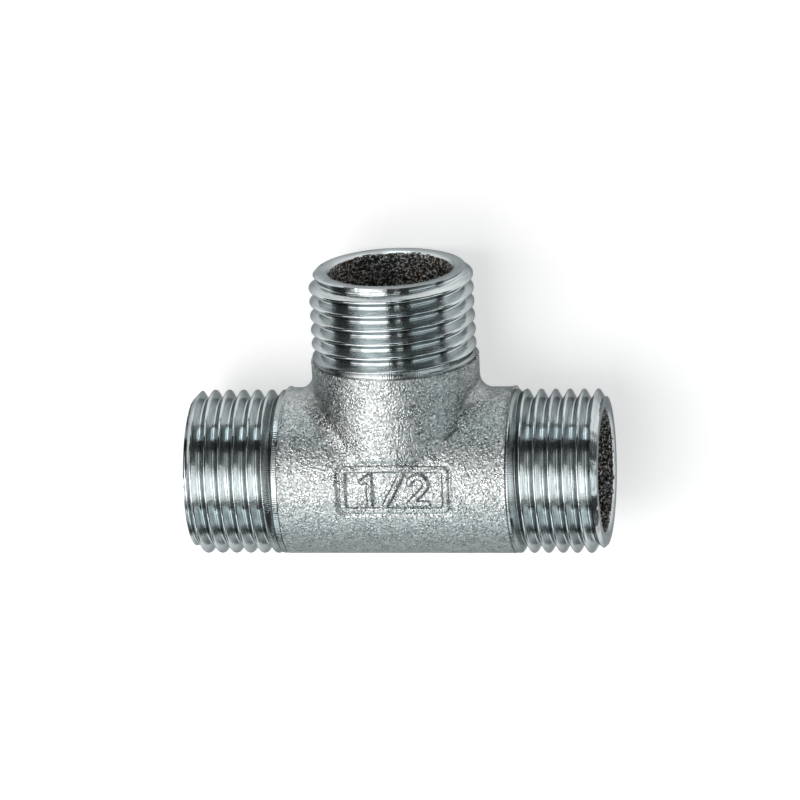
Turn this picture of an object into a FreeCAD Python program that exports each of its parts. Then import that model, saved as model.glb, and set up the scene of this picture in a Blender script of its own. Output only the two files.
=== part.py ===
"""Threaded tee: a cast pipe tee with three turned, male-threaded ends, modelled as one solid.

Millimetres. The origin is where the axes of the three ends cross. The run lies along X, the branch
points along +Y and +Z is up, so the tee lies on its back as it does on a table.
"""
import FreeCAD
import Part
import math
import os

import Sketcher
from FreeCAD import Placement, Rotation, Vector

# Driving dimensions, in millimetres: name, value and what the size is.
DIMENSIONS = [
    ("run_reach", 26.2, "crossing of the axes to the right and left end faces"),
    ("branch_reach", 26.6, "crossing of the axes to the branch's end face"),
    ("thread_radius", 10.35, "male thread over its crests"),
    ("turned_length", 11.25, "end face to the shoulder, turned for the thread"),
    ("lead_length", 0.95, "chamfer that leads the thread in, along the end"),
    ("lead_height", 0.95, "chamfer that leads the thread in, across the end"),
    ("shoulder", 0.65, "length of the slope from the turned end up to the cast skin"),
    ("body_radius", 10.55, "cast skin of the run and of the branch's neck"),
    ("crotch_radius", 1.2, "fillet in the two crotches between run and branch"),
    ("bore_radius", 7.7, "waterway through the run and the branch"),
    ("lip", 0.3, "bevel at the mouths of the waterway"),
]
SHEET = "Dimensions"
OVERCUT = 1.0  # how far a cutting outline runs past the metal
SINK = 0.2  # how far an added outline reaches into the metal
CROTCH_SWEEP = 86.0  # degrees that a crotch fillet runs to each side of the middle


class Size:
    """A length together with the expression that ties it to the sheet."""

    def __init__(self, value, text=None):
        self.value = value
        self.text = text or str(value)

    def __add__(self, other):
        return Size(self.value + other.value, f"({self.text} + {other.text})")

    def __sub__(self, other):
        return Size(self.value - other.value, f"({self.text} - {other.text})")

    def __mul__(self, factor):
        return Size(self.value * factor, f"({self.text} * {factor})")

    def __neg__(self):
        return self * -1


ZERO = Size(0.0)


def make_sheet(document):
    """Fills the sheet with the driving dimensions and returns them by name."""
    sheet = document.addObject("Spreadsheet::Sheet", SHEET)
    sizes = {}
    for row, (name, value, note) in enumerate(DIMENSIONS, start=1):
        sheet.set(f"A{row}", name)
        sheet.set(f"B{row}", str(value))
        sheet.set(f"C{row}", note)
        sheet.setAlias(f"B{row}", name)
        sizes[name] = Size(value, f"{SHEET}.{name}")
    document.recompute()
    return sizes


def origin_plane(body, role):
    return next(feature for feature in body.Origin.OriginFeatures if feature.Role == role)


def new_sketch(body, name, plane):
    sketch = body.newObject("Sketcher::SketchObject", name)
    sketch.AttachmentSupport = [(origin_plane(body, plane), "")]
    sketch.MapMode = "FlatFace"
    return sketch


def tie(sketch, constraint, size):
    """Adds a constraint whose value follows the sheet."""
    index = sketch.addConstraint(constraint)
    sketch.setExpression(f"Constraints[{index}]", size.text)


def draw_outline(sketch, corners):
    """Draws a closed outline of straight lines, each corner held by its distances from the origin."""
    points = [Vector(x.value, y.value, 0) for x, y in corners]
    last = len(points) - 1
    for start, end in zip(points, points[1:] + points[:1]):
        sketch.addGeometry(Part.LineSegment(start, end))
    for line, (x, y) in enumerate(corners):
        before = line - 1 if line else last
        sketch.addConstraint(Sketcher.Constraint("Coincident", before, 2, line, 1))
        tie(sketch, Sketcher.Constraint("DistanceX", -1, 1, line, 1, x.value), x)
        tie(sketch, Sketcher.Constraint("DistanceY", -1, 1, line, 1, y.value), y)


def turn(body, name, kind, corners, axis):
    """Turns an outline a full turn about X (H_Axis) or Y (V_Axis), to add or to cut."""
    sketch = new_sketch(body, name + "Outline", "XY_Plane")
    draw_outline(sketch, corners)
    feature = body.newObject(f"PartDesign::{kind}", name)
    feature.Profile = sketch
    feature.ReferenceAxis = (sketch, [axis])
    feature.Angle = 360
    return feature


def end_corners(size, reach):
    """Corners of one end from its face in to the cast skin: distance from the crossing, radius."""
    face_radius = size["thread_radius"] - size["lead_height"]
    step = reach - size["turned_length"]
    return [
        (reach, ZERO),
        (reach, face_radius),
        (reach - size["lead_length"], size["thread_radius"]),
        (step, size["thread_radius"]),
        (step - size["shoulder"], size["body_radius"]),
    ]


def bore_corners(size, reach):
    """Corners of a waterway from outside its mouth in to the plain bore."""
    bore = size["bore_radius"]
    mouth = bore + size["lip"]
    overcut = Size(OVERCUT)
    return [
        (reach + overcut, ZERO),
        (reach + overcut, mouth),
        (reach, mouth),
        (reach - size["lip"], bore),
    ]


def mirrored(corners):
    return [(-along, radius) for along, radius in corners]


def swapped(corners):
    """Stands an outline that was drawn along X up along Y."""
    return [(radius, along) for along, radius in corners]


def crotch_spine(body, skin):
    """Half of the ellipse in which the run's skin and the branch's skin cross, over the right crotch."""
    sketch = new_sketch(body, "CrotchSpine", "XZ_Plane")
    sketch.AttachmentOffset = Placement(Vector(), Rotation(Vector(0, 1, 0), 45))
    across = skin * math.sqrt(2)
    ellipse = Part.Ellipse(Vector(), across.value, skin.value)
    sweep = math.radians(CROTCH_SWEEP)
    curve = sketch.addGeometry(Part.ArcOfEllipse(ellipse, -sweep, sweep))
    sketch.exposeInternalGeometry(curve)
    major, minor = curve + 1, curve + 2
    sketch.addConstraint(Sketcher.Constraint("Coincident", curve, 3, -1, 1))
    sketch.addConstraint(Sketcher.Constraint("Horizontal", major))
    tie(sketch, Sketcher.Constraint("Distance", major, 2 * across.value), across * 2)
    tie(sketch, Sketcher.Constraint("Distance", minor, 2 * skin.value), skin * 2)
    for end, height in ((1, -(skin * math.sin(sweep))), (2, skin * math.sin(sweep))):
        tie(sketch, Sketcher.Constraint("DistanceY", -1, 1, curve, end, height.value), height)
    return sketch


def crotch_outline(body, skin, radius):
    """Section of the right crotch's fillet: the corner between the skins, hollowed by an arc."""
    sketch = new_sketch(body, "CrotchOutline", "XY_Plane")
    inside = skin - Size(SINK)
    outside = skin + radius
    corners = [(skin, outside), (inside, outside), (inside, inside), (outside, inside), (outside, skin)]
    points = [Vector(x.value, y.value, 0) for x, y in corners]
    for start, end in zip(points, points[1:]):
        sketch.addGeometry(Part.LineSegment(start, end))
    circle = Part.Circle(Vector(outside.value, outside.value, 0), Vector(0, 0, 1), radius.value)
    arc = sketch.addGeometry(Part.ArcOfCircle(circle, math.pi, 1.5 * math.pi))
    for line in range(1, arc):
        sketch.addConstraint(Sketcher.Constraint("Coincident", line - 1, 2, line, 1))
    sketch.addConstraint(Sketcher.Constraint("Coincident", arc, 1, 0, 1))
    sketch.addConstraint(Sketcher.Constraint("Coincident", arc, 2, arc - 1, 2))
    ends = [(line, 1) for line in range(arc)] + [(arc - 1, 2)]
    for (line, end), (x, y) in zip(ends, corners):
        tie(sketch, Sketcher.Constraint("DistanceX", -1, 1, line, end, x.value), x)
        tie(sketch, Sketcher.Constraint("DistanceY", -1, 1, line, end, y.value), y)
    tie(sketch, Sketcher.Constraint("Radius", arc, radius.value), radius)
    return sketch


def fill_crotches(body, size):
    """Sweeps the fillet's section round the right crotch without turning it, and mirrors it to the left."""
    spine = crotch_spine(body, size["body_radius"])
    fillet = body.newObject("PartDesign::AdditivePipe", "RightCrotch")
    fillet.Profile = crotch_outline(body, size["body_radius"], size["crotch_radius"])
    fillet.Spine = (spine, [])
    fillet.Mode = "Fixed"
    mirror = body.newObject("PartDesign::Mirrored", "LeftCrotch")
    mirror.Originals = [fillet]
    mirror.MirrorPlane = (origin_plane(body, "YZ_Plane"), [""])
    body.Tip = mirror


def make_tee(document, size):
    body = document.addObject("PartDesign::Body", "Tee")
    body.Label = "tee_body"
    end = end_corners(size, size["run_reach"])
    turn(body, "Run", "Revolution", mirrored(end) + end[::-1], "H_Axis")
    end = end_corners(size, size["branch_reach"])
    neck = [(ZERO, ZERO), (ZERO, size["body_radius"])]
    turn(body, "Branch", "Revolution", swapped(neck + end[::-1]), "V_Axis")
    fill_crotches(body, size)
    mouth = bore_corners(size, size["run_reach"])
    turn(body, "RunBore", "Groove", mirrored(mouth) + mouth[::-1], "H_Axis")
    mouth = bore_corners(size, size["branch_reach"])
    inner = [(ZERO, ZERO), (ZERO, size["bore_radius"])]
    turn(body, "BranchBore", "Groove", swapped(inner + mouth[::-1]), "V_Axis")
    return body


def check(document, parts):
    """Stops unless every object built and every part is one valid closed solid."""
    for item in document.Objects:
        if {"Invalid", "Error"} & set(item.State):
            raise RuntimeError(f"{item.Name} didn't build: {item.State}")
    for part in parts:
        shape = part.Shape
        if shape.isNull() or not shape.isValid() or len(shape.Solids) != 1 or shape.Volume <= 0:
            raise RuntimeError(f"{part.Label} isn't one valid solid")


def main():
    document = FreeCAD.newDocument("ThreadedTee")
    size = make_sheet(document)
    tee = make_tee(document, size)
    document.recompute()
    check(document, [tee])
    os.makedirs("parts", exist_ok=True)
    tee.Shape.exportStep(f"parts/{tee.Label}.step")
    print(f"{tee.Label}: {tee.Shape.Volume:.1f} mm3, {len(tee.Shape.Faces)} faces")


main()
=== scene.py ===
"""Looks of a male threaded pipe tee: one casting with a rough plated skin and three turned, threaded ends.

Lengths in the making are millimetres and become metres when a mesh is finished. Materials, camera and light
are in metres. The origin is where the three bores' axes cross: the run lies along X, the branch along +Y and
the floor is below, at -Z.
"""

import math

import bmesh
import bpy
import numpy as np
from mathutils import Matrix, Vector, noise


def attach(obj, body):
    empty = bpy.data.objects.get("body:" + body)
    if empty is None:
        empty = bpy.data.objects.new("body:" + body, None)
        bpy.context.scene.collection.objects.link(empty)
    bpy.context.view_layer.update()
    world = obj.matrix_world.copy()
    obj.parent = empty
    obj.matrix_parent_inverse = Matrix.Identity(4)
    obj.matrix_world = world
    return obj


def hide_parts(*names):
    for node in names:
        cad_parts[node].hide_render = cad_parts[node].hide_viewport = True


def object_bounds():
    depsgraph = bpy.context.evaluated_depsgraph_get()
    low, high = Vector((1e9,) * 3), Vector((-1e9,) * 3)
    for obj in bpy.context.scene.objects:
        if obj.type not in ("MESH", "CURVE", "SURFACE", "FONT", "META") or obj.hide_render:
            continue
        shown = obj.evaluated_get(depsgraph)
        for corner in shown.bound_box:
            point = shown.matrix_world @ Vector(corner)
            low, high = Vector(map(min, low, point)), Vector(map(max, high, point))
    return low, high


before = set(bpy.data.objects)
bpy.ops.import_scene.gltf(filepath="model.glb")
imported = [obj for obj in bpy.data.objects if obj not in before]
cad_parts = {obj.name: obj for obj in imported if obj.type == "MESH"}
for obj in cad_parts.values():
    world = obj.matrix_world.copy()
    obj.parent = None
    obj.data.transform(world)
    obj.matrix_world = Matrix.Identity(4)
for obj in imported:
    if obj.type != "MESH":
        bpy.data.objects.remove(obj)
cad_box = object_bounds()

MM = 0.001


def in_mm(metres):
    return round(metres / MM, 3)


# sizes that the solid has too, the first three from its box
RUN_REACH = in_mm(cad_box[1][0])
BRANCH_REACH = in_mm(cad_box[1][1])
FLOOR_LEVEL = in_mm(cad_box[0][2])
CREST = 10.35
LEAD = 0.95
BORE = 7.7
LIP = 0.3

# the cast skin, a little above the turned ends' axes, with the branch a trace wider than the run and further
# right, and the most that it may reach to stay inside the solid's box
SKIN = 10.5
SKIN_LIFT = 0.15
BRANCH_SCALE = 0.994
BRANCH_SHIFT = 0.03
SKIN_LIMIT = -FLOOR_LEVEL - 0.005

# the crotch fillet on the left, how much less it is on the right and then at the front right, the stretches
# over which it changes, and the squared sine between the two skins under which there is none
FILLET = 2.5
FILLET_LESS_RIGHT = 0.7
FILLET_LESS_FRONT = 1.3
MIDDLE_TO_RIGHT = (2.0, 5.0)
SIDE_TO_FRONT = (3.2, 7.0)
PARALLEL = 0.004

# noise in the surfaces: height, width of the grains and seed
SKIN_GRAIN = [(0.016, 2.6, 1), (0.008, 1.1, 2), (0.010, 0.46, 5)]
BORE_GRAIN = [(0.040, 0.62, 3), (0.022, 0.34, 4)]
BORE_COARSENESS = 1.3
SEED_STEP = (17.3, -9.1, 5.7)

# the ragged lip where the turning tool stopped: its width, its least and further height, the branch's share,
# how far out it is looked for, and the most that the skin may rise
RAGGED_WIDTH = 0.28
RAGGED_LEAST = 0.012
RAGGED_MORE = 0.13
RAGGED_BRANCH = 0.35
ENDS_BEYOND = 9.0
RELIEF_MOST = 0.35

# the tablet with the size figure, on the unrolled skin: its middle, half size, corner and margin, and its
# depths, with the stretches beside its outline and its strokes over which they are reached
MARK_AT = (0.75, 0.55)
MARK_HALF = (6.9, 3.1)
MARK_CORNER = 0.9
MARK_MARGIN = 1.0
FIELD_DEPTH = 0.30
FIELD_SLOPE = (-0.95, -0.62)
STROKE_SLOPE = (0.20, 0.52)
GUTTER_DEPTH = 0.20
GUTTER_INNER = (-0.12, 0.10)
GUTTER_OUTER = (0.14, 0.60)

# the cold shut beside the right-hand fillet: its ends and size, and the low rim on its lower side
CREASE = np.array([(8.75, 7.98, 7.0), (7.25, 6.80, 8.13)])
CREASE_MIDDLE = Vector(CREASE.mean(axis=0))
CREASE_DEPTH = 0.50
CREASE_WIDTH = 0.17
RIM_SIDE = (0.72, -0.68, 0.12)
RIM_HEIGHT = 0.06
RIM_AWAY = 0.36
RIM_WIDTH = 0.12

# the thread: right-hand, 60 degrees between its flanks, with round crests and roots
PITCH = 1.814
DEPTH = 1.16
HALF_ANGLE = math.radians(30.0)
ROUNDING = 0.2055
RUN_OUT = 1.3
PAST_SHOULDER = 0.15
# its nicks, as width of the grains and seed, their depth at the crest and at the root, and the lead's wear
FINE_NICKS = (0.55, 7)
BROAD_NICKS = (2.3, 8)
CREST_NICKS = 0.018
ROOT_NICKS = 0.010
LEAD_WEAR = (0.045, 0.9, 9)

# the collar between the cast skin and the thread: how far inside the crests it starts, pairs of how far past
# the seam, or short of the thread for the last, and how far inside the crests, and its waves and their radius
COLLAR_START = 0.11
UNDERCUT = (0.07, 0.12)
COLLAR_EDGE = (0.16, 0.02)
COLLAR_END = (0.08, 0.015)
COLLAR_WAVE = (0.012, 1.2, 6)
COLLAR_WAVE_RADIUS = 10.3

# the mouth: how far inside the chamfer the face's first row is, how far the face stops short of the bore's
# broken edge and that starts below the face, and how far it ends above its full depth and outside the bore
FACE_ROW = 0.45
EDGE_CORNER = 0.06
EDGE_START = 0.035
EDGE_END = (0.05, 0.03)

# the nets: their rows, where the cast one is finer, and from which angle on their edges are sharp
AROUND = 384
ANGLE = np.arange(AROUND) * 2 * math.pi / AROUND
SKIN_ROWS = 56
INNER_ROWS = 12
FINE_AROUND_MARK = (7.6, 3.9)
FINE_IN_FRONT_OF = 8.0
FINE_AROUND_CREASE = 1.5
SAME_PLACE = 1e-4
# distances along the axis from the middle of a root to that of a crest, closest where the profile is round
HALF_TURN = [0.0, 0.06, 0.12, 0.172, 0.2, 0.707, 0.735, 0.787, 0.847, 0.907]
OFFSETS = sorted(HALF_TURN[:-1] + [PITCH - s for s in HALF_TURN[1:]])
# depths below the end face, closest at the mouth
BORE_ROWS = [
    0.42, 0.60, 0.80, 1.0, 1.2, 1.4, 1.6, 1.8, 2.0, 2.2, 2.4, 2.65, 2.9, 3.2, 3.5, 3.8, 4.1, 4.4, 4.7,
    5.0, 5.4, 5.8, 6.3, 6.9, 7.6, 8.4, 9.3, 10.3, 11.2,
]
ROW_ABOVE_SHOULDER = 0.05
ROW_BELOW_FACE = 0.04
SHARP_CAST = 40.0
SHARP_TURNED = 42.0

ROOT = bpy.context.scene.collection


# What all pieces use

def smooth(low, high, value):
    """0 below low, 1 above high and a smooth step between."""
    t = np.clip((value - low) / (high - low), 0.0, 1.0)
    return t * t * (3.0 - 2.0 * t)


def bell(distance, width):
    """A bell curve: 1 at no distance and 0.37 at the width."""
    return np.exp(-(distance / width) ** 2)


def noise_at(points, width, seed):
    """Blender's noise at each point, for grains about as wide as given."""
    shift = Vector([step * seed for step in SEED_STEP])
    return np.array([noise.noise(Vector(p) / width + shift) for p in points.tolist()])


def grain(points, layers):
    """The sum of some noises, each given as its height, the width of its grains and its seed."""
    return sum(height * noise_at(points, width, seed) for height, width, seed in layers)


def bore_roughness(points):
    """How far the cast wall of the bores stands in from its mean radius."""
    return grain(points, BORE_GRAIN) * BORE_COARSENESS


class Arm:
    """One of the three arms: its outward axis and two directions across it, right-handed in that order.

    reach is where its face is, turned_length how long its turned part is, and shoulder how much further in
    the seam with the cast skin lies. root is where along the arm the middle of a thread root is at angle 0.
    """

    def __init__(self, name, out, first, second, reach, turned_length, shoulder, root):
        self.name = name
        self.out, self.first, self.second = (np.array(v, float) for v in (out, first, second))
        self.reach = reach
        self.turned = reach - turned_length
        self.seam = self.turned - shoulder
        self.root = root

    def point(self, along, radius, angle):
        """Places by their distance along the axis, their radius and their angle from first towards second."""
        cos, sin = np.cos(angle), np.sin(angle)
        across = np.multiply.outer(cos, self.first) + np.multiply.outer(sin, self.second)
        return np.asarray(along)[..., None] * self.out + np.asarray(radius)[..., None] * across


RIGHT = Arm("right", (1, 0, 0), (0, 1, 0), (0, 0, 1),
            reach=RUN_REACH, turned_length=11.10, shoulder=0.35, root=24.41)
LEFT = Arm("left", (-1, 0, 0), (0, 1, 0), (0, 0, -1),
           reach=RUN_REACH, turned_length=11.40, shoulder=0.75, root=24.59)
BRANCH = Arm("branch", (0, 1, 0), (0, 0, 1), (1, 0, 0),
             reach=BRANCH_REACH, turned_length=11.25, shoulder=0.30, root=24.13)
ARMS = (RIGHT, LEFT, BRANCH)


def mesh_object(name, points, faces, face_material, materials, sharp):
    """A smooth object, with sharp edges where its faces meet at more than the given degrees."""
    mesh = bpy.data.meshes.new(name)
    mesh.from_pydata((np.asarray(points) * MM).tolist(), [], faces)
    for material in materials:
        mesh.materials.append(material)
    mesh.polygons.foreach_set("material_index", np.asarray(face_material, np.int32))
    mesh.polygons.foreach_set("use_smooth", np.ones(len(mesh.polygons), bool))
    mesh.update()
    mesh.set_sharp_from_angle(angle=math.radians(sharp))
    made = bpy.data.objects.new(name, mesh)
    ROOT.objects.link(made)
    return made


def grid_faces(ring_a, ring_b):
    """Quads between two rings of vertex numbers, each given as a list or array once around."""
    a, b = np.asarray(ring_a), np.asarray(ring_b)
    return np.stack([a, np.roll(a, -1), np.roll(b, -1), b], axis=1).tolist()


# The cast body

def skin_distance(points):
    """Distance outside the run and the branch cylinders, with the rolled fillet between them."""
    x, y, z = points.T
    lifted = y - SKIN_LIFT
    run_r = np.hypot(lifted, z)
    run_n = np.stack([np.zeros_like(x), lifted / run_r, z / run_r], 1)
    run = run_r - SKIN
    wide = x * BRANCH_SCALE - BRANCH_SHIFT
    branch_r = np.hypot(wide, z)
    branch_n = np.stack([wide / branch_r, np.zeros_like(x), z / branch_r], 1)
    branch = branch_r - SKIN
    union = np.where(y > 0, np.minimum(run, branch), run)
    cos = np.clip((run_n * branch_n).sum(1), -1.0, 1.0)
    sin2 = 1.0 - cos * cos
    less = FILLET_LESS_RIGHT + FILLET_LESS_FRONT * smooth(*SIDE_TO_FRONT, z)
    fillet = FILLET - smooth(*MIDDLE_TO_RIGHT, x) * less
    u, v = run - fillet, branch - fillet
    safe = np.maximum(sin2, PARALLEL)
    toward_run, toward_branch = -(u - v * cos) / safe, -(v - u * cos) / safe
    in_fillet = (sin2 > PARALLEL) & (toward_run > 0) & (toward_branch > 0) & (y > 0)
    reach = np.sqrt(np.maximum((u * u + v * v - 2 * u * v * cos) / safe, 0.0))
    return np.where(in_fillet, fillet - reach, union)


def gradient(field, points, step=0.02):
    """The field's direction of steepest rise at each point, one unit long."""
    out = np.empty_like(points)
    for axis in range(3):
        offset = np.zeros(3)
        offset[axis] = step
        out[:, axis] = field(points + offset) - field(points - offset)
    return out / np.linalg.norm(out, axis=1)[:, None]


def inner_ends(arm, radius):
    """How far out along the arm its cylinder meets the other arms' cylinders, at each angle."""
    if arm is BRANCH:
        return radius * np.abs(np.sin(ANGLE))
    return radius * np.maximum(np.cos(ANGLE), 0.0)


def tee_grid(radius, rows):
    """Vertices and quads of three crossing tubes, joined along their mitres, out to the arms' seams."""
    points, rings, count = [], {}, 0
    for arm in ARMS:
        start = inner_ends(arm, radius)
        rings[arm.name] = []
        for share in np.linspace(0, 1, rows):
            along = start + (arm.seam - start) * share
            points.append(arm.point(along, np.full(AROUND, radius), ANGLE))
            rings[arm.name].append(np.arange(count, count + AROUND))
            count += AROUND
    points = np.concatenate(points)
    _, first, inverse = np.unique(np.round(points, 4) + 0.0, axis=0, return_index=True, return_inverse=True)
    inverse = inverse.reshape(-1)
    faces, last_rings = [], {}
    for arm in ARMS:
        numbered = [inverse[ring] for ring in rings[arm.name]]
        last_rings[arm.name] = numbered[-1]
        for a, b in zip(numbered, numbered[1:]):
            faces += grid_faces(a, b)
    return points[first], faces, last_rings


def wants_finer(middle):
    """True where the size figure or the crease will be."""
    beside, above = abs(middle.x - MARK_AT[0]), abs(middle.y - MARK_AT[1] - SKIN_LIFT)
    on_mark = middle.z > FINE_IN_FRONT_OF and beside < FINE_AROUND_MARK[0] and above < FINE_AROUND_MARK[1]
    return on_mark or (middle - CREASE_MIDDLE).length < FINE_AROUND_CREASE


def with_finer_net(points, faces):
    """The net with its edges halved where that is wanted, and the new number of each old vertex."""
    bm = bmesh.new()
    number = bm.verts.layers.int.new("number")
    places = [Vector(p) for p in points.tolist()]
    verts = [bm.verts.new(p) for p in places]
    for i, v in enumerate(verts):
        v[number] = i + 1
    for face in faces:
        bm.faces.new([verts[i] for i in face])
    wanted = [e for e in bm.edges if wants_finer((e.verts[0].co + e.verts[1].co) / 2)]
    bmesh.ops.subdivide_edges(bm, edges=wanted, cuts=1, use_grid_fill=True)
    bm.verts.index_update()
    # a new vertex may carry an old one's number, so its place decides
    now = {}
    for v in bm.verts:
        was = v[number] - 1
        if was >= 0 and (v.co - places[was]).length < SAME_PLACE:
            now[was] = v.index
    finer_points = np.array([v.co[:] for v in bm.verts])
    finer_faces = [[v.index for v in f.verts] for f in bm.faces]
    bm.free()
    return finer_points, finer_faces, now


def arc(middle, radii, degrees):
    """Points on an oval at the given angles."""
    angles = [math.radians(a) for a in degrees]
    return [(middle[0] + radii[0] * math.cos(a), middle[1] + radii[1] * math.sin(a)) for a in angles]


ONE = [(-4.0, 1.1), (-3.1, 1.75), (-3.1, -1.75)]
SLASH = [(-1.15, -1.95), (1.0, 1.95)]
TWO = arc((3.0, 0.75), (1.05, 1.0), range(170, -50, -20)) + [(1.95, -1.75), (4.15, -1.75)]


def strokes_distance(u, v, strokes):
    """Distance on the skin from a point to the nearest of some lines."""
    best = np.full(u.shape, np.inf)
    for line in strokes:
        for (x0, y0), (x1, y1) in zip(line, line[1:]):
            dx, dy = x1 - x0, y1 - y0
            t = np.clip(((u - x0) * dx + (v - y0) * dy) / (dx * dx + dy * dy), 0, 1)
            best = np.minimum(best, np.hypot(u - x0 - t * dx, v - y0 - t * dy))
    return best


def mark_depth(points):
    """The size figure's tablet: a sunk field with its rim and its figures left at the skin's height."""
    x, y, z = points.T
    u = x - MARK_AT[0]
    v = np.arctan2(y - SKIN_LIFT, z) * SKIN - MARK_AT[1]
    near = (z > 0) & (np.abs(u) < MARK_HALF[0] + MARK_MARGIN) & (np.abs(v) < MARK_HALF[1] + MARK_MARGIN)
    u, v = u[near], v[near]
    qx, qy = np.abs(u) - MARK_HALF[0] + MARK_CORNER, np.abs(v) - MARK_HALF[1] + MARK_CORNER
    outside = np.hypot(np.maximum(qx, 0), np.maximum(qy, 0)) + np.minimum(np.maximum(qx, qy), 0) - MARK_CORNER
    field = 1 - smooth(*FIELD_SLOPE, outside)
    field *= smooth(*STROKE_SLOPE, strokes_distance(u, v, [ONE, SLASH, TWO]))
    gutter = smooth(*GUTTER_INNER, outside) * (1 - smooth(*GUTTER_OUTER, outside))
    depth = np.zeros(len(points))
    depth[near] = FIELD_DEPTH * field + GUTTER_DEPTH * gutter
    return depth


def crease_depth(points):
    """A short cold shut beside the right-hand fillet."""
    a, b = CREASE
    along = b - a
    t = np.clip((points - a) @ along / (along @ along), 0, 1)
    off = np.linalg.norm(points - a - t[:, None] * along, axis=1)
    on_rim_side = (points - a) @ np.array(RIM_SIDE) > 0
    return CREASE_DEPTH * bell(off, CREASE_WIDTH) - RIM_HEIGHT * bell(off - RIM_AWAY, RIM_WIDTH) * on_rim_side


def ragged_lip(arm, points):
    """What the turning tool left standing at the arm's seam, tallest on the run's upper side."""
    out = points @ arm.out
    angle = np.arctan2(points @ arm.second, points @ arm.first)
    share = RAGGED_BRANCH if arm is BRANCH else 0.5 + 0.5 * np.cos(angle)
    height = RAGGED_LEAST + RAGGED_MORE * share ** 3
    return bell(arm.seam - out, RAGGED_WIDTH) * (out > ENDS_BEYOND) * height


def rough_skin(points):
    """The points moved onto the cast skin and out or in by its relief."""
    for _ in range(3):
        points = points - gradient(skin_distance, points) * skin_distance(points)[:, None]
    relief = grain(points, SKIN_GRAIN) - mark_depth(points) - crease_depth(points)
    for arm in ARMS:
        relief += ragged_lip(arm, points)
    points = points + gradient(skin_distance, points) * np.minimum(relief, RELIEF_MOST)[:, None]
    points[:, 2] = np.clip(points[:, 2], -SKIN_LIMIT, SKIN_LIMIT)
    points[:, 1] = np.maximum(points[:, 1], -SKIN_LIMIT)
    return points


def cast_body(skin, bore):
    """The skin and the waterway, closed by a flat ring at each seam."""
    points, faces, skin_rings = tee_grid(SKIN, SKIN_ROWS)
    points, faces, now = with_finer_net(points, faces)
    points = rough_skin(points)

    inner, inner_faces, inner_rings = tee_grid(BORE, INNER_ROWS)
    for arm in ARMS:
        ring = inner_rings[arm.name]
        across = inner[ring] - np.outer(inner[ring] @ arm.out, arm.out)
        across /= np.linalg.norm(across, axis=1)[:, None]
        inner[ring] -= across * bore_roughness(inner[ring])[:, None]

    offset = len(points)
    skin_faces = len(faces)
    faces += [[offset + i for i in reversed(face)] for face in inner_faces]
    for arm in ARMS:
        outer_ring = [now[i] for i in skin_rings[arm.name]]
        faces += grid_faces(outer_ring, offset + inner_rings[arm.name])
    index = [0] * skin_faces + [1] * (len(faces) - skin_faces)
    return mesh_object("cast_body", np.concatenate([points, inner]), faces, index, [skin, bore], SHARP_CAST)


# The turned ends

ON_TURNED, ON_FACE, ON_BORE = 0, 1, 2


class Lathe:
    """Collects the rings and faces of one turned end."""

    def __init__(self, arm):
        self.arm = arm
        self.points, self.faces, self.index = [], [], []

    def ring(self, along, radius):
        first = len(self.points)
        along, radius = np.broadcast_to(along, AROUND), np.broadcast_to(radius, AROUND)
        self.points.extend(self.arm.point(along, radius, ANGLE).tolist())
        return list(range(first, first + AROUND))

    def join(self, ring_a, ring_b, material):
        quads = grid_faces(ring_a, ring_b)
        self.faces += quads
        self.index += [material] * len(quads)


def thread_share(off):
    """1 at the root, 0 at the crest, by distance along the axis from the middle of the root."""
    off = np.abs((off + PITCH / 2) % PITCH - PITCH / 2)
    from_crest = PITCH / 2 - off
    tangent = ROUNDING * math.cos(HALF_ANGLE)
    flank = DEPTH / 2 - (off - PITCH / 4) / math.tan(HALF_ANGLE)
    root = DEPTH - ROUNDING + np.sqrt(np.maximum(ROUNDING ** 2 - off ** 2, 0))
    crest = ROUNDING - np.sqrt(np.maximum(ROUNDING ** 2 - from_crest ** 2, 0))
    return np.where(off < tangent, root, np.where(from_crest < tangent, crest, flank)) / DEPTH


def thread_points(arm, along, off_root, angle):
    """Places on the thread: its profile, run-out and nicks, cut off by the worn lead chamfer."""
    share = thread_share(off_root)
    from_face = arm.reach - along
    thread_end = arm.reach - arm.turned + PAST_SHOULDER
    fade = 1 - smooth(thread_end - RUN_OUT, thread_end, from_face)
    radius = CREST - DEPTH * share * fade
    at = arm.point(along, radius, angle)
    nick = sum(noise_at(at, width, seed + arm.root) * 0.5 for width, seed in (FINE_NICKS, BROAD_NICKS))
    radius = radius - CREST_NICKS * np.abs(nick) * (1 - share) - ROOT_NICKS * nick * share
    chamfer = CREST - LEAD + from_face + grain(at, [LEAD_WEAR])
    return arm.point(along, np.minimum(radius, np.minimum(chamfer, CREST)), angle)


def collar(lathe):
    """The turned strip between the cast skin and the thread, with a fine undercut beside the skin."""
    seam, turned = lathe.arm.seam, lathe.arm.turned
    at_seam = lathe.arm.point(np.full(AROUND, seam), np.full(AROUND, COLLAR_WAVE_RADIUS), ANGLE)
    wave = grain(at_seam, [COLLAR_WAVE])
    rings = [
        lathe.ring(seam, CREST - COLLAR_START + wave),
        lathe.ring(seam + UNDERCUT[0], CREST - UNDERCUT[1] + wave),
        lathe.ring(seam + COLLAR_EDGE[0], CREST - COLLAR_EDGE[1] + wave * 0.5),
        lathe.ring(turned - COLLAR_END[0], CREST - COLLAR_END[1]),
        lathe.ring(turned, CREST - COLLAR_END[1]),
    ]
    for a, b in zip(rings, rings[1:]):
        lathe.join(a, b, ON_TURNED)
    return rings[0], rings[-1]


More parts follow.
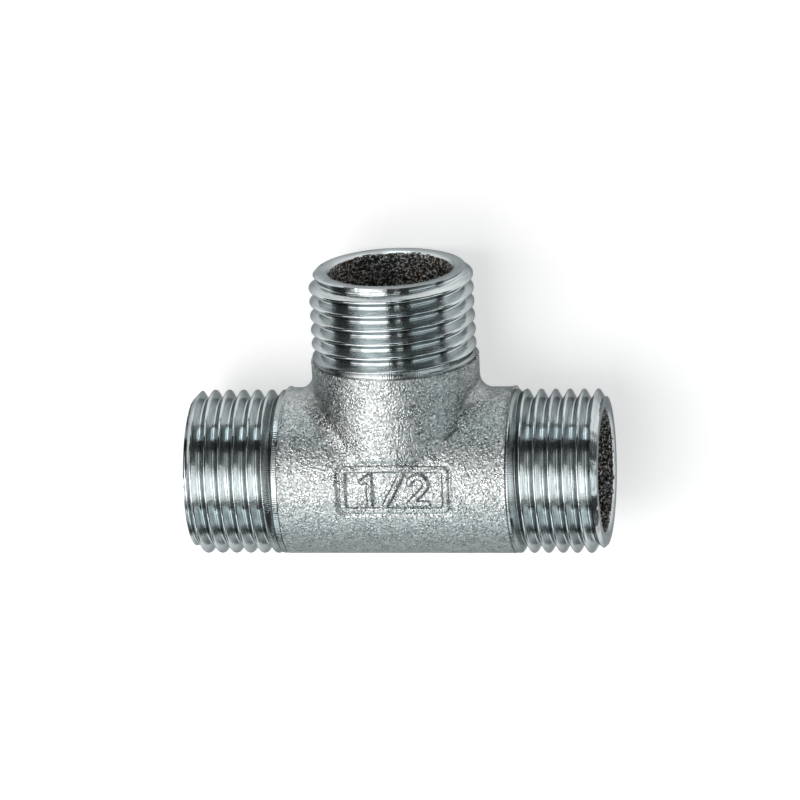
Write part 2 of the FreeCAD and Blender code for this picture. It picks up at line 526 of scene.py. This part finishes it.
def thread(lathe, low):
    """The threaded part: its rows follow the helix and are cut off square at both ends."""
    arm = lathe.arm
    turns_down = int((arm.root - arm.turned) / PITCH) + 2
    turns_up = int((arm.reach - arm.root) / PITCH) + 2
    starts = np.array([arm.root + PITCH * t + o for t in range(-turns_down, turns_up) for o in OFFSETS])
    sheared = starts[None, :] + PITCH * np.arange(AROUND)[:, None] / AROUND
    keep = (sheared > arm.turned + ROW_ABOVE_SHOULDER) & (sheared < arm.reach - ROW_BELOW_FACE)
    columns, rows = np.nonzero(keep)
    number = -np.ones(sheared.shape, int)
    number[columns, rows] = len(lathe.points) + np.arange(len(columns))
    on_thread = thread_points(arm, sheared[columns, rows], starts[rows] - arm.root, ANGLE[columns])
    lathe.points.extend(on_thread.tolist())
    high = lathe.ring(arm.reach, CREST - LEAD)
    for j in range(AROUND):
        n = (j + 1) % AROUND
        # past the last column a row goes on as the one a turn further out
        shift = len(OFFSETS) if n == 0 else 0
        here = {k: number[j, k] for k in np.nonzero(keep[j])[0]}
        there = {k - shift: number[n, k] for k in np.nonzero(keep[n])[0]}
        both = sorted(set(here) & set(there))
        first, last = both[0], both[-1]
        below_here, below_there = ([side[k] for k in sorted(side) if k < first] for side in (here, there))
        above_here, above_there = ([side[k] for k in sorted(side) if k > last] for side in (here, there))
        lathe.faces.append([low[j], low[n]] + below_there + [there[first], here[first]] + below_here[::-1])
        for k in range(first, last):
            lathe.faces.append([here[k], there[k], there[k + 1], here[k + 1]])
        lathe.faces.append([here[last], there[last]] + above_there + [high[n], high[j]] + above_here[::-1])
        lathe.index += [ON_TURNED] * (last - first + 2)
    return high


def mouth(lathe, high):
    """The face, the broken edge of the bore and the rough bore down to the seam."""
    face = lathe.arm.reach
    last = high
    for along, radius, material in (
        (face, CREST - LEAD - FACE_ROW, ON_FACE),
        (face, BORE + LIP + EDGE_CORNER, ON_FACE),
        (face - EDGE_START, BORE + LIP, ON_FACE),
        (face - LIP + EDGE_END[0], BORE + EDGE_END[1], ON_TURNED),
    ):
        ring = lathe.ring(along, radius)
        lathe.join(last, ring, material)
        last = ring
    for down in BORE_ROWS + [face - lathe.arm.seam]:
        wall = lathe.arm.point(np.full(AROUND, face - down), np.full(AROUND, BORE), ANGLE)
        ring = lathe.ring(face - down, BORE - bore_roughness(wall))
        lathe.join(last, ring, ON_BORE)
        last = ring
    return last


def turned_end(arm, turned, face, bore):
    """A closed piece: collar, thread, face, bore and the hidden end that sits against the casting."""
    lathe = Lathe(arm)
    seam_ring, low = collar(lathe)
    high = thread(lathe, low)
    bore_ring = mouth(lathe, high)
    lathe.join(bore_ring, seam_ring, ON_BORE)
    return mesh_object("turned_end_" + arm.name, lathe.points, lathe.faces, lathe.index, [turned, face, bore],
                       SHARP_TURNED)


# Materials

EDGE_TINT = (0.30, 0.32, 0.33, 1.0)
TONE = (0.61, 0.65, 0.655)
FACE_TONE = (0.58, 0.615, 0.62)
# the skin's colours, darker where the pebbles are low: painted shade in their hollows, mixed with random tone
SKIN_TONES_AND_HOLLOW_SHADE = [(0.34, (0.27, 0.29, 0.29)), (0.50, (0.46, 0.49, 0.485)), (0.66, (0.63, 0.66, 0.65))]
TURNED_TONES = [(0.30, 0.80), (0.55, 1.0), (0.75, 1.10)]
# the bore's dark colours: random dark tones of the unplated casting, deepened by painted shade
BORE_SHADED_TONES = [(0.42, (0.07, 0.08, 0.08)), (0.60, (0.12, 0.09, 0.07))]
# the colour of the painted glints on the bore's grains
BORE_PAINTED_GLINT = (0.90, 0.90, 0.87, 1.0)
# the dark grey of the painted shade on the last turn, beside the casting
LAST_TURN_PAINTED_SHADE = (0.20, 0.22, 0.22, 1.0)

# metres of height in the bumps
SKIN_BUMP = 0.00012
BORE_BUMP = 0.00024
TURNED_LINES = 0.000020
FACE_LINES = 0.000010
DUST_BUMP = 0.000012
CHATTER_BUMP = 0.000010

# roughness, and how far the turned lines take it down and up
SKIN_ROUGHNESS = (0.24, 0.31)
BORE_ROUGHNESS = 0.30
TURNED_ROUGHNESS = 0.15
FACE_ROUGHNESS = 0.24
LESS_ROUGH, MORE_ROUGH = 0.05, 0.06

# metres out along an arm over which the last turn, beside the casting, ends, which painted shade darkens, and
# the waves that a chattering tool left there, as radians of wave for each radian around
LAST_TURN = (0.0160, 0.0164)
CHATTER_WAVES = 230.0

# the floor: the middle of the pool of light painted on it, the metres from there over which that painted
# light fades and to which share, its grey and its glow
FLOOR_MIDDLE_Y = 0.009
FLOOR_POOL_EDGE = (0.085, 0.130)
FLOOR_OUTSIDE_POOL = 0.12
FLOOR_GREY = 0.62
FLOOR_GLOW = 0.55


class Nodes:
    """Short hand for a material's node tree."""

    def __init__(self, name):
        self.material = bpy.data.materials.new(name)
        self.material.use_nodes = True
        self.tree = self.material.node_tree
        self.tree.nodes.clear()
        self.out = self.add("ShaderNodeOutputMaterial")

    def add(self, kind, **inputs):
        node = self.tree.nodes.new(kind)
        for key, value in inputs.items():
            self.put(node, key.replace("_", " "), value)
        return node

    def put(self, node, key, value):
        """Links a socket to the input with that name or number, or sets the input to a plain value."""
        if isinstance(value, bpy.types.NodeSocket):
            self.tree.links.new(value, node.inputs[key])
        else:
            node.inputs[key].default_value = value

    def math(self, kind, *values):
        node = self.tree.nodes.new("ShaderNodeMath")
        node.operation = kind
        for i, value in enumerate(values):
            self.put(node, i, value)
        return node.outputs[0]

    def plus(self, a, b):
        return self.math("ADD", a, b)

    def times(self, a, b):
        return self.math("MULTIPLY", a, b)

    def length(self, a, b):
        return self.math("SQRT", self.plus(self.times(a, a), self.times(b, b)))

    def place(self):
        return self.add("ShaderNodeTexCoord").outputs["Object"]

    def split(self, vector):
        return self.add("ShaderNodeSeparateXYZ", Vector=vector).outputs

    def noise(self, vector, scale, detail=2.0, distortion=0.0):
        node = self.add("ShaderNodeTexNoise", Vector=vector, Scale=scale, Detail=detail,
                        Distortion=distortion)
        return node.outputs["Fac"]

    def ramp(self, value, stops):
        node = self.tree.nodes.new("ShaderNodeValToRGB")
        self.tree.links.new(value, node.inputs[0])
        elements = node.color_ramp.elements
        while len(elements) < len(stops):
            elements.new(0.5)
        for element, (at, colour) in zip(elements, stops):
            element.position = at
            element.color = (*colour, 1.0)
        return node.outputs[0]

    def mix(self, share, first, second):
        node = self.tree.nodes.new("ShaderNodeMix")
        node.data_type = "RGBA"
        self.put(node, 0, share)
        self.put(node, 6, first)
        self.put(node, 7, second)
        return node.outputs[2]

    def span(self, value, given, wanted):
        """The value, with the first pair's stretch mapped to the second's and held at its ends."""
        node = self.add("ShaderNodeMapRange", Value=value, From_Min=given[0], From_Max=given[1],
                        To_Min=wanted[0], To_Max=wanted[1])
        return node.outputs[0]

    def bump(self, height, distance, **more):
        return self.add("ShaderNodeBump", Height=height, Distance=distance, Strength=1.0, **more).outputs[0]

    def finish(self, shader):
        self.tree.links.new(shader.outputs[0], self.out.inputs[0])
        return self.material


def cast_plate():
    """Nickel over a sand-cast skin: fine pebbles, with painted shade that darkens the colour in their
    hollows.
    """
    n = Nodes("cast_plate")
    at = n.place()
    pebbles = n.noise(at, scale=4000.0, detail=0.3, distortion=0.8)
    lumps = n.noise(at, scale=1500.0, detail=0.0)
    broad = n.noise(at, scale=700.0)
    normal = n.bump(n.plus(pebbles, n.times(lumps, 0.3)), SKIN_BUMP)
    # painted shade: the colour follows the pebbles' height and is darker in their hollows, with some random
    # tone from the broad noise
    colour = n.ramp(n.plus(n.times(pebbles, 0.8), n.times(broad, 0.2)), SKIN_TONES_AND_HOLLOW_SHADE)
    shader = n.add("ShaderNodeBsdfPrincipled", Base_Color=colour, Metallic=1.0, Normal=normal,
                   Specular_Tint=EDGE_TINT, Roughness=n.span(broad, (0.3, 0.7), SKIN_ROUGHNESS))
    return n.finish(shader)


def turned_plate(name, axis, tone, roughness, lines):
    """Nickel over turned brass, with the tool's lines round the axis, which draw the gloss out along it."""
    n = Nodes(name)
    at = n.place()
    parts = n.split(at)
    along, one, two = {"X": (parts[0], parts[1], parts[2]), "Y": (parts[1], parts[2], parts[0])}[axis]
    radius = n.length(one, two)
    cos = n.math("DIVIDE", one, radius)
    sin = n.math("DIVIDE", two, radius)

    def streaks(fine, slow):
        """Noise that is fine along and across the axis and slow round it."""
        place = n.add("ShaderNodeCombineXYZ", X=n.times(along, fine), Y=n.times(radius, fine * 0.8),
                      Z=n.times(cos, slow))
        node = n.add("ShaderNodeTexNoise", Vector=place.outputs[0], Scale=1.0, Detail=2.0)
        node.noise_dimensions = "4D"
        n.put(node, "W", n.times(sin, slow))
        return node.outputs["Fac"]

    thin = streaks(9000.0, 2.0)
    wide = streaks(2600.0, 3.2)
    dust = n.noise(at, scale=3500.0)
    normal = n.bump(n.plus(n.times(thin, 0.6), wide), lines)
    normal = n.bump(dust, DUST_BUMP, Normal=normal)
    last_turn = n.span(n.math("ABSOLUTE", along), LAST_TURN, (1.0, 0.0))
    waves = n.math("SINE", n.times(n.math("ARCTAN2", two, one), CHATTER_WAVES))
    chatter = n.times(n.times(waves, last_turn), n.span(dust, (0.35, 0.6), (0.0, 0.7)))
    normal = n.bump(chatter, CHATTER_BUMP, Normal=normal)
    tones = [(stop, tuple(t * share for t in tone)) for stop, share in TURNED_TONES]
    # painted shade: the last turn, beside the casting, is mixed part way towards a dark grey
    colour = n.mix(n.times(last_turn, 0.55), n.ramp(wide, tones), LAST_TURN_PAINTED_SHADE)
    streaked = n.span(thin, (0.3, 0.7), (roughness - LESS_ROUGH, roughness + MORE_ROUGH))
    tangent = n.add("ShaderNodeTangent")
    tangent.direction_type = "RADIAL"
    tangent.axis = axis
    shader = n.add("ShaderNodeBsdfPrincipled", Base_Color=colour, Metallic=1.0, Normal=normal,
                   Specular_Tint=EDGE_TINT, Roughness=n.plus(streaked, n.times(last_turn, 0.04)),
                   Anisotropic=0.8, Anisotropic_Rotation=0.25, Tangent=tangent.outputs[0])
    return n.finish(shader)


def cast_bore():
    """The unplated inside of the casting, crumbly, its dark colour deepened by painted shade and its bright
    grains painted glints.
    """
    n = Nodes("cast_bore")
    at = n.place()
    crumbs = n.noise(at, scale=3300.0, detail=1.0, distortion=0.9)
    fine = n.noise(at, scale=6500.0, detail=0.0)
    normal = n.bump(n.plus(crumbs, n.times(fine, 0.35)), BORE_BUMP)
    # painted shade: the bore's base colour is kept far darker than the casting's metal
    dark = n.ramp(n.noise(at, scale=260.0), BORE_SHADED_TONES)
    # painted glints: the crumbs that stand highest get a bright colour
    painted_glint = n.ramp(crumbs, [(0.53, (0.0, 0.0, 0.0)), (0.60, (1.0, 1.0, 1.0))])
    colour = n.mix(painted_glint, dark, BORE_PAINTED_GLINT)
    shader = n.add("ShaderNodeBsdfPrincipled", Base_Color=colour, Metallic=1.0, Normal=normal,
                   Roughness=BORE_ROUGHNESS)
    return n.finish(shader)


def pale_floor():
    """Diffuse white; the part that the camera, gloss and glass add to it makes the photograph's plain white.

    It is white well past the picture's edge, and further out its grey and glow fade: a pool of light painted
    on the floor, like a sheet of paper in a dim room.
    """
    n = Nodes("pale_floor")
    parts = n.split(n.place())
    away = n.length(parts[0], n.math("SUBTRACT", parts[1], FLOOR_MIDDLE_Y))
    # painted pool of light: 1 in the middle and fading to a share further out, scaling the floor's grey and
    # its glow
    white = n.span(away, FLOOR_POOL_EDGE, (1.0, FLOOR_OUTSIDE_POOL))
    path = n.add("ShaderNodeLightPath").outputs
    seen = n.plus(n.plus(path["Is Camera Ray"], path["Is Glossy Ray"]), path["Is Transmission Ray"])
    seen = n.math("MINIMUM", seen, 1.0)
    # the floor's grey under the painted pool of light
    sheet = n.mix(white, (0.0, 0.0, 0.0, 1.0), (FLOOR_GREY, FLOOR_GREY, FLOOR_GREY, 1.0))
    diffuse = n.add("ShaderNodeBsdfDiffuse", Color=sheet)
    strength = n.times(n.times(seen, white), FLOOR_GLOW)
    glow = n.add("ShaderNodeEmission", Color=(1.0, 1.0, 1.0, 1.0), Strength=strength)
    both = n.add("ShaderNodeAddShader")
    n.put(both, 0, diffuse.outputs[0])
    n.put(both, 1, glow.outputs[0])
    return n.finish(both)


# Camera, light, floor

# where the photograph was taken from: angles to the right and up, roll, metres away, millimetres of aim, and
# the lens and its sensor
CAMERA_TURN = math.radians(9.95)
CAMERA_LIFT = math.radians(17.4)
CAMERA_ROLL = math.radians(-3.08)
CAMERA_AWAY = 0.9
AIM_RIGHT = -0.126
AIM_UP = 8.95
LENS = 320.9
SENSOR = 36.0

PANEL_AWAY = 0.70
COOL = (0.88, 0.97, 1.0)
WARM = (1.0, 0.975, 0.965)
PLAIN = (1.0, 1.0, 1.0)
# name, degrees from straight up towards the branch, degrees towards the right, degrees wide, degrees long,
# radiance and colour
PANELS = [
    ("key_core", -7, -21, 44, 30, 1.35, WARM),
    ("key_middle", -6, -30, 62, 46, 1.6, WARM),
    ("key_edge", 4, -21, 44, 84, 0.8, PLAIN),
    ("low_box", -62, -13, 30, 30, 1.1, COOL),
    ("low_wide", -66, -10, 66, 38, 0.5, COOL),
    ("low_edge", -50, -20, 44, 8, 0.9, COOL),
    ("head_box", 80, -8, 28, 22, 2.5, COOL),
    ("strip_box", -6, 17.5, 3.6, 50, 1.6, PLAIN),
    ("side_box", -13, 60, 46, 30, 1.3, COOL),
]

ROOM_COLOUR = (0.95, 1.0, 1.0, 1.0)
ROOM_STRENGTH = 0.04
FLOOR_HALF = 1.6


def camera():
    """The photograph's viewpoint."""
    turn, lift, roll = CAMERA_TURN, CAMERA_LIFT, CAMERA_ROLL
    back = Vector((math.sin(turn) * math.cos(lift), math.sin(lift), math.cos(turn) * math.cos(lift)))
    level = Vector((math.cos(turn), 0.0, -math.sin(turn)))
    up = back.cross(level)
    right = level * math.cos(roll) + up * math.sin(roll)
    over = up * math.cos(roll) - level * math.sin(roll)
    place = back * CAMERA_AWAY
    target = right * (AIM_RIGHT * MM) + over * (AIM_UP * MM)
    away = (place - target).normalized()
    right = (right - away * right.dot(away)).normalized()
    over = away.cross(right)
    data = bpy.data.cameras.new("camera")
    data.lens = LENS
    data.sensor_width = SENSOR
    data.clip_start, data.clip_end = 0.05, 20.0
    made = bpy.data.objects.new("camera", data)
    facing = Matrix((right, over, away)).transposed().to_4x4()
    made.matrix_world = Matrix.Translation(place) @ facing
    ROOT.objects.link(made)
    bpy.context.scene.camera = made


def panel(name, round_x, tilt, across, along, radiance, colour):
    """A soft box that faces the part: round_x is towards the branch and tilt towards the right."""
    about, lean = math.radians(round_x), math.radians(tilt)
    toward = Vector((math.sin(lean), math.cos(lean) * math.sin(about), math.cos(lean) * math.cos(about)))
    level = Vector((1, 0, 0))
    level = (level - toward * level.dot(toward)).normalized()
    data = bpy.data.lights.new(name, "AREA")
    data.shape = "RECTANGLE"
    data.size = 2 * PANEL_AWAY * math.tan(math.radians(across) / 2)
    data.size_y = 2 * PANEL_AWAY * math.tan(math.radians(along) / 2)
    data.energy = radiance * math.pi * data.size * data.size_y
    data.color = colour
    made = bpy.data.objects.new(name, data)
    facing = Matrix((level, toward.cross(level), toward)).transposed().to_4x4()
    made.matrix_world = Matrix.Translation(toward * PANEL_AWAY) @ facing
    made.visible_camera = False
    ROOT.objects.link(made)


def dim_room():
    """A nearly dark world, so that the soft boxes and the floor make the light."""
    world = bpy.data.worlds.new("studio")
    bpy.context.scene.world = world
    world.use_nodes = True
    tree = world.node_tree
    tree.nodes.clear()
    room = tree.nodes.new("ShaderNodeBackground")
    room.inputs["Color"].default_value = ROOM_COLOUR
    room.inputs["Strength"].default_value = ROOM_STRENGTH
    out = tree.nodes.new("ShaderNodeOutputWorld")
    tree.links.new(room.outputs[0], out.inputs[0])


def floor_sheet():
    """The sheet that the part lies on."""
    side, level = FLOOR_HALF, FLOOR_LEVEL * MM
    corners = [(-side, -side, level), (side, -side, level), (side, side, level), (-side, side, level)]
    mesh = bpy.data.meshes.new("floor")
    mesh.from_pydata(corners, [], [(0, 1, 2, 3)])
    mesh.materials.append(pale_floor())
    floor = bpy.data.objects.new("floor", mesh)
    ROOT.objects.link(floor)


# The scene

camera()
dim_room()
for settings in PANELS:
    panel(*settings)
floor_sheet()

skin = cast_plate()
bore = cast_bore()
run_turned = turned_plate("turned_run", "X", TONE, TURNED_ROUGHNESS, TURNED_LINES)
branch_turned = turned_plate("turned_branch", "Y", TONE, TURNED_ROUGHNESS, TURNED_LINES)
run_face = turned_plate("face_run", "X", FACE_TONE, FACE_ROUGHNESS, FACE_LINES)
branch_face = turned_plate("face_branch", "Y", FACE_TONE, FACE_ROUGHNESS, FACE_LINES)

pieces = [
    cast_body(skin, bore),
    turned_end(RIGHT, run_turned, run_face, bore),
    turned_end(LEFT, run_turned, run_face, bore),
    turned_end(BRANCH, branch_turned, branch_face, bore),
]

for piece in pieces:
    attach(piece, "root")
    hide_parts("tee_body")

bpy.context.scene.view_settings.view_transform = "Standard"
